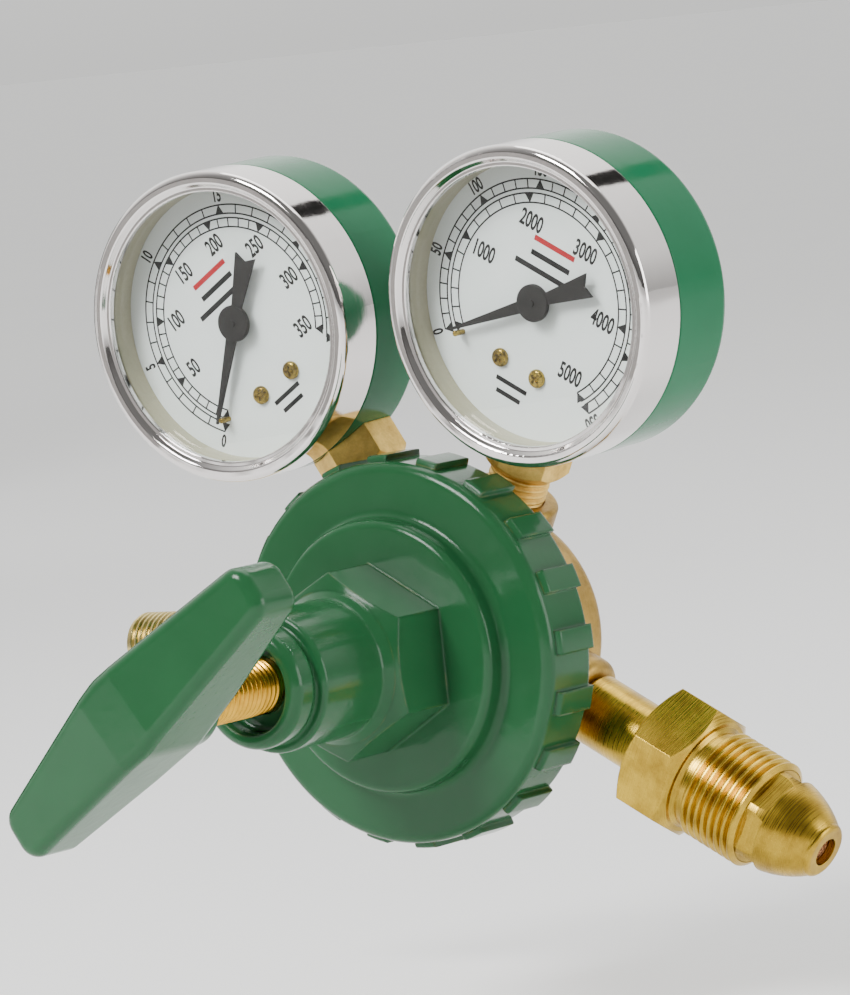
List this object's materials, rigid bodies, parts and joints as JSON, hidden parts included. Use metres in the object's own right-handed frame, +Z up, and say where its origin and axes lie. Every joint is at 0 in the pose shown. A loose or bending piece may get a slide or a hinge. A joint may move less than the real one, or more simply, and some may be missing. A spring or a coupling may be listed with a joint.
{
  "type": "nitrogen regulator",
  "caption": "Cylinder gas regulator with a green bonnet and wing handle, a brass body with inlet nut and outlet, and a pair of round chrome-rimmed gauges.",
  "frame": {"origin": "on the axis of the cylinder inlet, midway along the inlet nut's thread, where the cylinder valve holds the regulator", "axes": "+Z up between the gauges, +Y from the wing handle to the brass body along the adjusting screw, +X toward the cylinder inlet"},
  "size_m": [0.1817, 0.1369, 0.1598],
  "materials": {
    "green_paint": "gloss enamel over a casting",
    "case_paint": "gloss enamel on sheet steel",
    "brass": "turned and forged, satin",
    "pale_brass": "turned, pale satin",
    "sintered_bronze": "porous",
    "bronze_tube": "drawn tube",
    "steel": "plain",
    "chrome": "polished",
    "clear_lens": "clear",
    "cream_plastic": "matte",
    "dial_white": "matte print ground on aluminium",
    "pointer_grey": "matte",
    "white_plastic": "plain",
    "rubber": "fabric reinforced"
  },
  "bodies": {
    "regulator": {"bonnet": "green_paint", "body": "brass", "slip_washer": "steel", "diaphragm": "rubber", "nozzle": "brass", "inlet_nipple": "brass", "inlet_filter": "sintered_bronze", "outlet_fitting": "pale_brass", "main_spring": "steel", "return_spring": "steel", "left_gauge_case": "case_paint", "left_gauge_bezel": "chrome", "left_gauge_lens": "clear_lens", "left_spacer_ring": "cream_plastic", "left_dial": "dial_white", "left_stop_pin": "brass", "left_dial_screws": "brass", "left_bourdon_tube": "bronze_tube", "left_movement_frame": "brass", "left_gauge_socket": "brass", "right_gauge_case": "case_paint", "right_gauge_bezel": "chrome", "right_gauge_lens": "clear_lens", "right_spacer_ring": "cream_plastic", "right_dial": "dial_white", "right_stop_pin": "brass", "right_dial_screws": "brass", "right_bourdon_tube": "bronze_tube", "right_movement_frame": "brass", "right_gauge_socket": "brass"},
    "spring_pusher": {"thrust_ball": "steel", "spring_button": "steel"},
    "screw": {"adjusting_screw": "brass", "handle": "green_paint"},
    "backing_plate": {"diaphragm_plate": "brass"},
    "valve": {"valve_stem": "brass", "valve_seat_disc": "white_plastic"},
    "nut": {"inlet_nut": "brass"},
    "left_pointer_body": {"left_pointer": "pointer_grey", "left_pointer_arbor": "brass"},
    "left_sector_body": {"left_sector_gear": "brass"},
    "left_link_body": {"left_tube_link": "brass"},
    "right_pointer_body": {"right_pointer": "pointer_grey", "right_pointer_arbor": "brass"},
    "right_sector_body": {"right_sector_gear": "brass"},
    "right_link_body": {"right_tube_link": "brass"}
  },
  "joints": [
    {"name": "screw_advance", "type": "slide", "parent": "regulator", "child": "spring_pusher", "axis": [0, 1, 0], "range_m": [0, 0.012], "deforming": ["main_spring"]},
    {"name": "screw_turn", "type": "hinge", "parent": "spring_pusher", "child": "screw", "pos_m": [-0.0651, -0.09, 0.03653], "axis": [0, 1, 0], "range_deg": [0, 2880]},
    {"name": "diaphragm_lift", "type": "slide", "parent": "regulator", "child": "backing_plate", "axis": [0, 1, 0], "range_m": [0, 0.0008], "stiffness_N_per_m": 800, "springref_m": -0.002, "deforming": ["diaphragm"]},
    {"name": "valve_lift", "type": "slide", "parent": "regulator", "child": "valve", "axis": [0, 1, 0], "range_m": [0, 0.0008], "stiffness_N_per_m": 200, "springref_m": -0.004, "deforming": ["return_spring"]},
    {"name": "inlet_nut_spin", "type": "hinge", "parent": "regulator", "child": "nut", "pos_m": [0, 0, 0], "axis": [0.8721, 0, -0.4894], "continuous": true},
    {"name": "left_pointer_turn", "type": "hinge", "parent": "regulator", "child": "left_pointer_body", "pos_m": [-0.10545, -0.01843, 0.10873], "axis": [-0.0277, 0.9984, 0.0496], "range_deg": [0, 260], "stiffness_Nm_per_rad": 0.0004, "springref_deg": -8.59},
    {"name": "left_sector_turn", "type": "hinge", "parent": "regulator", "child": "left_sector_body", "pos_m": [-0.09804, -0.01256, 0.09546], "axis": [-0.0277, 0.9984, 0.0496], "range_deg": [-50, 0]},
    {"name": "left_link_pull", "type": "slide", "parent": "regulator", "child": "left_link_body", "axis": [0.8729, 0, 0.4879], "range_m": [0, 0.00338], "deforming": ["left_bourdon_tube"]},
    {"name": "right_pointer_turn", "type": "hinge", "parent": "regulator", "child": "right_pointer_body", "pos_m": [-0.02476, -0.01843, 0.10873], "axis": [0.0277, 0.9984, 0.0496], "range_deg": [0, 260], "stiffness_Nm_per_rad": 0.0004, "springref_deg": -8.59},
    {"name": "right_sector_turn", "type": "hinge", "parent": "regulator", "child": "right_sector_body", "pos_m": [-0.03217, -0.01256, 0.09546], "axis": [0.0277, 0.9984, 0.0496], "range_deg": [-50, 0]},
    {"name": "right_link_pull", "type": "slide", "parent": "regulator", "child": "right_link_body", "axis": [0.8729, 0, -0.4879], "range_m": [0, 0.00338], "deforming": ["right_bourdon_tube"]}
  ],
  "couplings": [
    {"joint": "screw_turn", "follows": "screw_advance", "rad_per_m": 4188.8},
    {"joint": "valve_lift", "follows": "diaphragm_lift", "ratio": 1},
    {"joint": "left_sector_turn", "follows": "left_link_pull", "rad_per_m": -258.11},
    {"joint": "left_pointer_turn", "follows": "left_link_pull", "rad_per_m": 1342.2},
    {"joint": "right_sector_turn", "follows": "right_link_pull", "rad_per_m": -258.11},
    {"joint": "right_pointer_turn", "follows": "right_link_pull", "rad_per_m": 1342.2}
  ]
}
